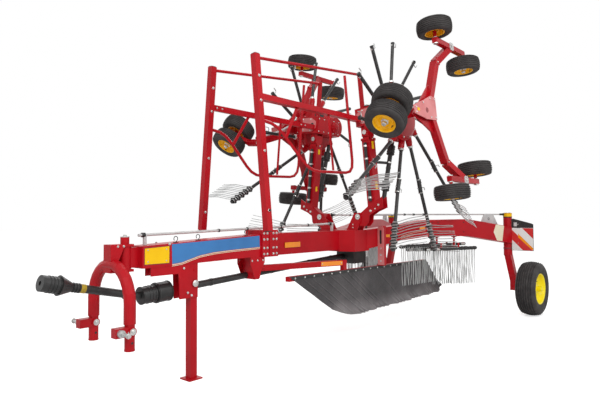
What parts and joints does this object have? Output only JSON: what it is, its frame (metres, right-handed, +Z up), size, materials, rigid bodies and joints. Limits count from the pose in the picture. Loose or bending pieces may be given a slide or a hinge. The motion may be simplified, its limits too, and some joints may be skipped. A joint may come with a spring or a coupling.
{
  "type": "twin-rotor hay rake",
  "caption": "Trailed twin-rotor hay rake folded for transport: red frame, arched drawbar, parking stand, tined rotors on lift arms with guard frames, castor wheels and a swath curtain.",
  "frame": {"origin": "on the ground below the middle of the machine, half way from the tractor shaft tip to the rear tyres", "axes": "+X forward to the drawbar, +Y left, +Z up"},
  "size_m": [6.6476, 2.908, 3.6968],
  "materials": {
    "red_paint": "gloss red paint, dusty in corners",
    "tyre": "black rubber",
    "rim_yellow": "semi-gloss yellow paint",
    "sheet_rubber": "coated dark rubber sheet",
    "black_steel": "black painted steel",
    "black_plastic": "moulded guard plastic",
    "bright_steel": "zinc plated",
    "board_white": "reflective sheet, red and white stripes"
  },
  "bodies": {
    "root": {"main_beam": "red_paint", "centre_frame": "red_paint", "rear_arm_left": "red_paint", "rear_arm_right": "red_paint", "drive_line": "black_plastic", "tractor_shaft": "black_plastic", "curtain_arm": "red_paint", "curtain": "sheet_rubber", "stored_arms_left": "black_steel", "stored_arms_right": "black_steel", "warning_boards": "board_white", "steering_rod": "bright_steel"},
    "headstock": {"headstock": "red_paint", "link_pins": "bright_steel"},
    "parking_stand": {"parking_stand": "red_paint"},
    "knuckle_left": {"knuckle_left": "red_paint"},
    "rear_wheel_left": {"rear_tyre_left": "tyre", "rear_rim_left": "rim_yellow"},
    "lift_arm_left": {"lift_arm_left": "red_paint", "arm_drive_left": "black_plastic"},
    "slide_tube_left": {"slide_tube_left": "red_paint"},
    "rotor_head_left": {"rotor_head_left": "red_paint", "guard_left": "red_paint"},
    "rotor_left": {"rotor_left": "black_steel"},
    "castor_left": {"castor_fork_left": "red_paint"},
    "castor_wheels_left": {"castor_tyres_left": "tyre", "castor_rims_left": "rim_yellow"},
    "front_outer_wheel_left": {"front_outer_tyre_left": "tyre", "front_outer_rim_left": "rim_yellow"},
    "front_inner_wheel_left": {"front_inner_tyre_left": "tyre", "front_inner_rim_left": "rim_yellow"},
    "rear_outer_wheel_left": {"rear_outer_tyre_left": "tyre", "rear_outer_rim_left": "rim_yellow"},
    "rear_inner_wheel_left": {"rear_inner_tyre_left": "tyre", "rear_inner_rim_left": "rim_yellow"},
    "knuckle_right": {"knuckle_right": "red_paint"},
    "rear_wheel_right": {"rear_tyre_right": "tyre", "rear_rim_right": "rim_yellow"},
    "lift_arm_right": {"lift_arm_right": "red_paint", "arm_drive_right": "black_plastic"},
    "slide_tube_right": {"slide_tube_right": "red_paint"},
    "rotor_head_right": {"rotor_head_right": "red_paint", "guard_right": "red_paint"},
    "rotor_right": {"rotor_right": "black_steel"},
    "castor_right": {"castor_fork_right": "red_paint"},
    "castor_wheels_right": {"castor_tyres_right": "tyre", "castor_rims_right": "rim_yellow"},
    "front_outer_wheel_right": {"front_outer_tyre_right": "tyre", "front_outer_rim_right": "rim_yellow"},
    "front_inner_wheel_right": {"front_inner_tyre_right": "tyre", "front_inner_rim_right": "rim_yellow"},
    "rear_outer_wheel_right": {"rear_outer_tyre_right": "tyre", "rear_outer_rim_right": "rim_yellow"},
    "rear_inner_wheel_right": {"rear_inner_tyre_right": "tyre", "rear_inner_rim_right": "rim_yellow"}
  },
  "joints": [
    {"name": "headstock_swivel", "type": "hinge", "parent": "root", "child": "headstock", "pos_m": [2.6565, 0, 1.112], "axis": [0, 0, 1], "range_deg": [-45, 45]},
    {"name": "stand_swing", "type": "hinge", "parent": "root", "child": "parking_stand", "pos_m": [2.0415, 0.05, 0.95], "axis": [0, 1, 0], "range_deg": [0, 72]},
    {"name": "steer_left", "type": "hinge", "parent": "root", "child": "knuckle_left", "pos_m": [-2.9435, 0.99, 0.9], "axis": [0, 0, 1], "range_deg": [-18, 18]},
    {"name": "rear_wheel_spin_left", "type": "hinge", "parent": "knuckle_left", "child": "rear_wheel_left", "pos_m": [-2.9435, 1.322, 0.38], "axis": [0, 1, 0], "continuous": true},
    {"name": "lift_left", "type": "hinge", "parent": "root", "child": "lift_arm_left", "pos_m": [-0.2135, 0.289, 1.411], "axis": [-1, 0, 0], "range_deg": [0, 104.5]},
    {"name": "extend_left", "type": "slide", "parent": "lift_arm_left", "child": "slide_tube_left", "axis": [0, -0.0993, 0.9951], "range_m": [0, 0.68]},
    {"name": "level_left", "type": "hinge", "parent": "slide_tube_left", "child": "rotor_head_left", "pos_m": [-0.2135, 0.38862, 2.39104], "axis": [-1, 0, 0], "range_deg": [-8.8, 0]},
    {"name": "rotor_spin_left", "type": "hinge", "parent": "rotor_head_left", "child": "rotor_left", "pos_m": [-0.4835, 0.62, 2.59], "axis": [0, -0.9951, -0.0993], "continuous": true},
    {"name": "castor_swivel_left", "type": "hinge", "parent": "rotor_head_left", "child": "castor_left", "pos_m": [0.4125, 0.93647, 2.33919], "axis": [0, -0.9951, -0.0993], "continuous": true},
    {"name": "castor_spin_left", "type": "hinge", "parent": "castor_left", "child": "castor_wheels_left", "pos_m": [0.51494, 1.13749, 2.43969], "axis": [-0.6157, -0.0783, 0.7841], "continuous": true},
    {"name": "front_outer_spin_left", "type": "hinge", "parent": "rotor_head_left", "child": "front_outer_wheel_left", "pos_m": [-0.6635, 1.02168, 3.59989], "axis": [0, -0.0993, 0.9951], "continuous": true},
    {"name": "front_inner_spin_left", "type": "hinge", "parent": "rotor_head_left", "child": "front_inner_wheel_left", "pos_m": [-0.6635, 1.21337, 1.67943], "axis": [0, -0.0993, 0.9951], "continuous": true},
    {"name": "rear_outer_spin_left", "type": "hinge", "parent": "rotor_head_left", "child": "rear_outer_wheel_left", "pos_m": [-1.3535, 1.05247, 3.29142], "axis": [0, -0.0993, 0.9951], "continuous": true},
    {"name": "rear_inner_spin_left", "type": "hinge", "parent": "rotor_head_left", "child": "rear_inner_wheel_left", "pos_m": [-1.3535, 1.18258, 1.9879], "axis": [0, -0.0993, 0.9951], "continuous": true},
    {"name": "steer_right", "type": "hinge", "parent": "root", "child": "knuckle_right", "pos_m": [-2.9435, -0.99, 0.9], "axis": [0, 0, 1], "range_deg": [-18, 18]},
    {"name": "rear_wheel_spin_right", "type": "hinge", "parent": "knuckle_right", "child": "rear_wheel_right", "pos_m": [-2.9435, -1.322, 0.38], "axis": [0, 1, 0], "continuous": true},
    {"name": "lift_right", "type": "hinge", "parent": "root", "child": "lift_arm_right", "pos_m": [-0.2135, -0.289, 1.411], "axis": [1, 0, 0], "range_deg": [0, 104.5]},
    {"name": "extend_right", "type": "slide", "parent": "lift_arm_right", "child": "slide_tube_right", "axis": [0, 0.0993, 0.9951], "range_m": [0, 0.68]},
    {"name": "level_right", "type": "hinge", "parent": "slide_tube_right", "child": "rotor_head_right", "pos_m": [-0.2135, -0.38862, 2.39104], "axis": [1, 0, 0], "range_deg": [-8.8, 0]},
    {"name": "rotor_spin_right", "type": "hinge", "parent": "rotor_head_right", "child": "rotor_right", "pos_m": [-0.4835, -0.62, 2.59], "axis": [0, 0.9951, -0.0993], "continuous": true},
    {"name": "castor_swivel_right", "type": "hinge", "parent": "rotor_head_right", "child": "castor_right", "pos_m": [0.4125, -0.93647, 2.33919], "axis": [0, 0.9951, -0.0993], "continuous": true},
    {"name": "castor_spin_right", "type": "hinge", "parent": "castor_right", "child": "castor_wheels_right", "pos_m": [0.51494, -1.13749, 2.43969], "axis": [-0.6157, 0.0783, 0.7841], "continuous": true},
    {"name": "front_outer_spin_right", "type": "hinge", "parent": "rotor_head_right", "child": "front_outer_wheel_right", "pos_m": [-0.6635, -1.02168, 3.59989], "axis": [0, 0.0993, 0.9951], "continuous": true},
    {"name": "front_inner_spin_right", "type": "hinge", "parent": "rotor_head_right", "child": "front_inner_wheel_right", "pos_m": [-0.6635, -1.21337, 1.67943], "axis": [0, 0.0993, 0.9951], "continuous": true},
    {"name": "rear_outer_spin_right", "type": "hinge", "parent": "rotor_head_right", "child": "rear_outer_wheel_right", "pos_m": [-1.3535, -1.05247, 3.29142], "axis": [0, 0.0993, 0.9951], "continuous": true},
    {"name": "rear_inner_spin_right", "type": "hinge", "parent": "rotor_head_right", "child": "rear_inner_wheel_right", "pos_m": [-1.3535, -1.18258, 1.9879], "axis": [0, 0.0993, 0.9951], "continuous": true}
  ],
  "couplings": [
    {"joint": "steer_left", "follows": "headstock_swivel", "ratio": -0.4},
    {"joint": "extend_left", "follows": "lift_left", "m_per_rad": 0.37283},
    {"joint": "level_left", "follows": "lift_left", "ratio": -0.084211},
    {"joint": "steer_right", "follows": "headstock_swivel", "ratio": -0.4},
    {"joint": "extend_right", "follows": "lift_right", "m_per_rad": 0.37283},
    {"joint": "level_right", "follows": "lift_right", "ratio": -0.084211}
  ]
}
